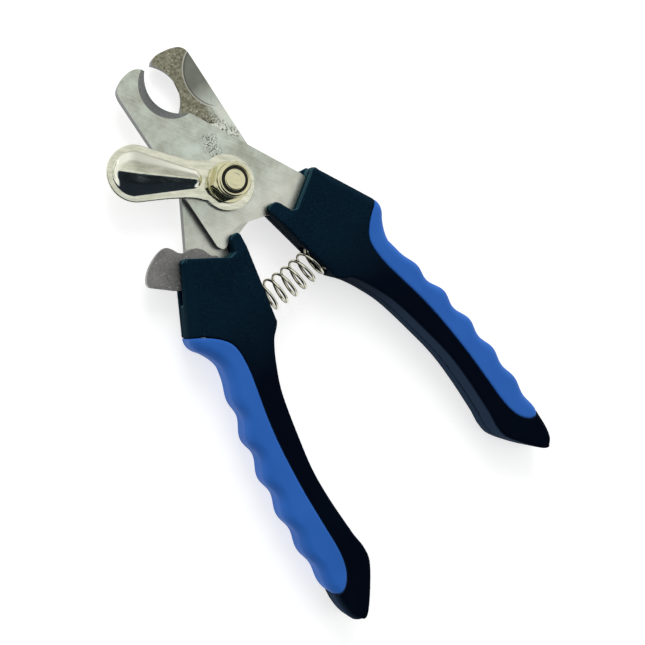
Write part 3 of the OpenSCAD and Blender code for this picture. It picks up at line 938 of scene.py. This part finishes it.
def nut_rings():
    """A chamfered hexagon with a round crown that holds the nylon insert."""
    low, high = heights("pivot_nut")
    insert_low = heights("nut_insert")[0]
    hex_top = high - CROWN_H

    def hexagon(angle):
        within = np.mod(angle - math.radians(NUT_TURN), math.pi / 3) - math.pi / 6
        return NUT_FLAT_R / np.cos(within)

    def chamfer(angle, level, away):
        return level - away * (hexagon(angle) - NUT_FLAT_R) * math.tan(math.radians(CHAMFER))

    return [(BOLT_R, low), (NUT_FLAT_R - 0.1, low),
            (hexagon, lambda angle: chamfer(angle, low + 0.05, -1)),
            (hexagon, lambda angle: chamfer(angle, hex_top - 0.05, 1)), (NUT_FLAT_R - 0.1, hex_top),
            *corner(NUT_CROWN_R + 0.25, hex_top + 0.3, 0.3, 250, 180, 3),
            *corner(NUT_CROWN_R - 0.75, high - 0.7, 0.7, 0, 115, 8),
            (NUT_SEAT_R, high - 0.35), (NUT_SEAT_R, insert_low), (BOLT_R, insert_low)]


def fasteners():
    """The pivot's turned pieces. All of them ride on the rear half."""
    plated = chrome_material("nickel_plate", linear(214, 210, 174), 0.12)
    satin = steel_material("washer_steel", linear(150, 152, 148), 0.3)
    place(turned("pivot_bolt_turned", bolt_rings(), 128), plated, "rear_half", "pivot_bolt")
    for node, outer, finish in (("head_washer", HEAD_WASHER_R, satin),
                                ("nut_washer", NUT_WASHER_R, plated)):
        low, high = heights(node)
        rings = disc_rings(outer, low, high, min(WASHER_EDGE, (high - low) * 0.4), PIVOT_HOLE_R)
        place(turned(node + "_stamped", rings), finish, "rear_half", node)
    place(turned("pivot_nut_forged", nut_rings(), 180), plated, "rear_half", "pivot_nut")
    rings = disc_rings(NUT_SEAT_R, *heights("nut_insert"), 0.2, BOLT_R)
    place(turned("nut_insert_ring", rings), nylon_material(), "rear_half", "nut_insert")


# ---------------------------------------------------------------- spring

SPRING_PHASE = 3.32
SPRING_SAG = 0.0062  # the middle of the spring bows down, away from the pivot


def spring():
    """One wire: a closed turn at each end and an even pitch between them."""
    wire, outer, sides, steps = 0.9, 9.6, 14, 48
    end_x = SEAT_X - 0.05 - wire / 2
    closed, closed_pitch, even_pitch = 1.0, 0.96, 3.39
    turns = (2 * end_x - 2 * closed * closed_pitch) / even_pitch + 2 * closed
    count = int(turns * steps)
    t = np.arange(count + 1) / steps
    travel = np.array([0.0] + [closed_pitch + (even_pitch - closed_pitch)
                               * step(min(u - closed, turns - closed - u), -0.12, 0.12)
                               for u in (t[1:] + t[:-1]) / 2])
    x = np.cumsum(travel) / steps
    x = -end_x + 2 * end_x * x / x[-1]
    a = 2 * np.pi * t + SPRING_PHASE
    coil = (outer - wire) / 2
    bow, slope = SPRING_Y + SPRING_SAG * (x**2 - end_x**2), 2 * SPRING_SAG * x
    away = coil * np.cos(a) / np.hypot(1, slope)
    centre = np.column_stack([x - slope * away, bow + away, MID_Z + coil * np.sin(a)])
    run = np.gradient(centre, axis=0)
    run /= np.linalg.norm(run, axis=1, keepdims=True)
    out = np.column_stack([np.zeros_like(a), np.cos(a), np.sin(a)])
    out -= (out * run).sum(1, keepdims=True) * run
    out /= np.linalg.norm(out, axis=1, keepdims=True)
    side = np.cross(run, out)
    b = 2 * np.pi * np.arange(sides) / sides
    ring = np.cos(b)[None, :, None] * out[:, None] + np.sin(b)[None, :, None] * side[:, None]
    points = (centre[:, None] + wire / 2 * ring).reshape(-1, 3)
    faces = []
    for here in range(0, count * sides, sides):
        for j in range(sides):
            k = (j + 1) % sides
            faces.append((here + j, here + k, here + sides + k, here + sides + j))
    faces += [tuple(range(sides - 1, -1, -1)), tuple(count * sides + j for j in range(sides))]
    obj = mesh_object("return_spring_wire", points, faces)
    tidy(obj)
    ease(obj, 0.12, 2, 60)
    obj.data.materials.append(wire_material())
    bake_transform(obj)
    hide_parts("return_spring")


# ---------------------------------------------------------------- thumb lock

LOCK_C, LOCK_HOLE_R = (-24, -13.5), 1.3
LOCK_TOP = [[-35.3, -10.3], [-34.3, -8.8], [-32.2, -7], [-29.3, -5.6], [-27.2, -5], [-25.3, -5],
            [-24, -6.3], [-23, -8.2], [-21.7, -9.1], [-19.8, -9.4], [-18, -10.1], [-16.6, -11.6],
            [-16, -13.2], [-15.4, -14.4], [-14.3, -15.1], [-14.1, -16.2]]
LOCK_UNDER = [[-15, -17.1], [-18, -17.4], [-22, -17.6], [-27, -17.5], [-29.2, -16.8],
              [-32.1, -14.3], [-34.7, -12], [-35.3, -11.2]]


def thumb_lock():
    """The stamped lever with its hooked top and flat underside."""
    outline = np.vstack([smooth(LOCK_TOP, 6)[:-1], smooth(LOCK_UNDER, 6)[:-1]])
    low, high = heights("lock_lever")
    obj = plate("lock_lever_stamped", outline, low, high)
    drill(obj, *LOCK_C, LOCK_HOLE_R, low - 1, high + 1, steps=48)
    ease(obj, 0.35, 3, 40)
    place(obj, tumbled_material(), "lock", "lock_lever")


def hidden_pieces():
    """Pins and the lock's washer keep their CAD shape and get a steel finish."""
    steel = steel_material("pin_steel", linear(170, 172, 170), 0.25)
    for node in ("left_tang_pins", "right_tang_pins", "lock_pin", "lock_washer"):
        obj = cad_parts[node]
        obj.data.materials.clear()
        obj.data.materials.append(steel)


# ---------------------------------------------------------------- camera, floor and light

VIEW_TURNS = ((0.26, "X"), (23.33, "Y"), (35.83, "Z"))  # degrees
VIEW_SPOT = (28.3, -39.51, 280.0)  # from the pivot on the split plane, in the camera's own axes
SENSOR, FOCAL_PIXELS, PHOTO_PIXELS = 36, 980, 645

FLOOR_TONE, FLOOR_GLOW = 0.5, 0.68

# Lobes of the surround: direction, half angle and softness in degrees
DARK_LOBES = (((-0.45, -0.55, 0.7), 41, 6), ((-0.32, 0.05, 0.95), 17, 5))
GREY_LOBE = ((0.75, 0.3, 0.6), 22, 12)
DARK_DEPTH, GREY_DEPTH = 0.97, 0.35
PALE_TINT, DARK_TINT = (1, 1, 0.985, 1), (0.5, 0.7, 1, 1)


def camera():
    """The view that the blades' crossing and the two handles' symmetry were fitted to."""
    view = Matrix.Identity(3)
    for degrees, axis in VIEW_TURNS:
        view = view @ Matrix.Rotation(math.radians(degrees), 3, axis)
    back = view.transposed()
    spot = back @ Vector(VIEW_SPOT) + Vector((0, 0, SPLIT_Z))
    data = bpy.data.cameras.new("camera")
    data.sensor_width = SENSOR
    data.lens = SENSOR * FOCAL_PIXELS / PHOTO_PIXELS
    data.clip_start = 0.01
    cam = bpy.data.objects.new("camera", data)
    bpy.context.collection.objects.link(cam)
    cam.matrix_world = Matrix.Translation(spot * MM) @ back.to_4x4()
    scene.camera = cam


def floor():
    """A white tabletop that glows a little, so that its shadows stay pale."""
    bpy.ops.mesh.primitive_plane_add(size=4, location=(0, 0, 0))
    obj = bpy.context.object
    obj.name = "floor"
    s = Shader("floor", (FLOOR_TONE, FLOOR_TONE, FLOOR_TONE, 1), 0.9, specular=0.1)
    s.bsdf.inputs["Emission Color"].default_value = (1, 1, 1, 1)
    s.bsdf.inputs["Emission Strength"].default_value = FLOOR_GLOW
    obj.data.materials.append(s.mat)


def studio():
    """A pale surround. A dark shape, like the person behind the camera, stands on the near side,
    and the far side has a grey patch."""
    world = bpy.data.worlds.new("studio")
    scene.world = world
    world.use_nodes = True
    tree = world.node_tree
    nodes, links = tree.nodes, tree.links
    where = nodes.new("ShaderNodeTexCoord").outputs["Generated"]

    def lobe(direction, wide, soft):
        """1 within an angle of a direction, and 0 outside it."""
        dot = nodes.new("ShaderNodeVectorMath")
        dot.operation = "DOT_PRODUCT"
        links.new(where, dot.inputs[0])
        dot.inputs[1].default_value = Vector(direction).normalized()
        span = nodes.new("ShaderNodeMapRange")
        span.interpolation_type = "SMOOTHSTEP"
        span.inputs["From Min"].default_value = math.cos(math.radians(wide + soft))
        span.inputs["From Max"].default_value = math.cos(math.radians(wide - soft))
        links.new(dot.outputs["Value"], span.inputs["Value"])
        return span.outputs[0]

    def mixed(operation, a, b):
        node = nodes.new("ShaderNodeMath")
        node.operation = operation
        for socket, value in zip(node.inputs, (a, b)):
            if isinstance(value, bpy.types.NodeSocket):
                links.new(value, socket)
            else:
                socket.default_value = value
        return node.outputs[0]

    def rest_of(shade, depth):
        return mixed("SUBTRACT", 1.0, mixed("MULTIPLY", shade, depth))

    dark = mixed("MAXIMUM", *[lobe(*values) for values in DARK_LOBES])
    level = mixed("MULTIPLY", rest_of(dark, DARK_DEPTH), rest_of(lobe(*GREY_LOBE), GREY_DEPTH))
    background = nodes["Background"]
    links.new(level, background.inputs["Strength"])
    tint = nodes.new("ShaderNodeMix")
    tint.data_type = "RGBA"
    links.new(dark, tint.inputs[0])
    tint.inputs[6].default_value = PALE_TINT
    tint.inputs[7].default_value = DARK_TINT
    links.new(tint.outputs[2], background.inputs["Color"])


def lamp(name, spot, aim, size, power):
    """A square lamp that isn't seen in reflections."""
    data = bpy.data.lights.new(name, "AREA")
    data.size = size
    data.energy = power
    obj = bpy.data.objects.new(name, data)
    bpy.context.collection.objects.link(obj)
    obj.location = spot
    obj.rotation_euler = (Vector(aim) - Vector(spot)).to_track_quat("-Z", "Y").to_euler()
    obj.visible_glossy = False


# ---------------------------------------------------------------- the scene

scene.view_settings.view_transform = "Standard"
camera()
floor()
studio()
lamp("key", spot=(0.3, 0.5, 0.5), aim=(0, -0.04, 0), size=0.4, power=3.0)
handle_pieces()
blades()
guard()
fasteners()
spring()
thumb_lock()
hidden_pieces()
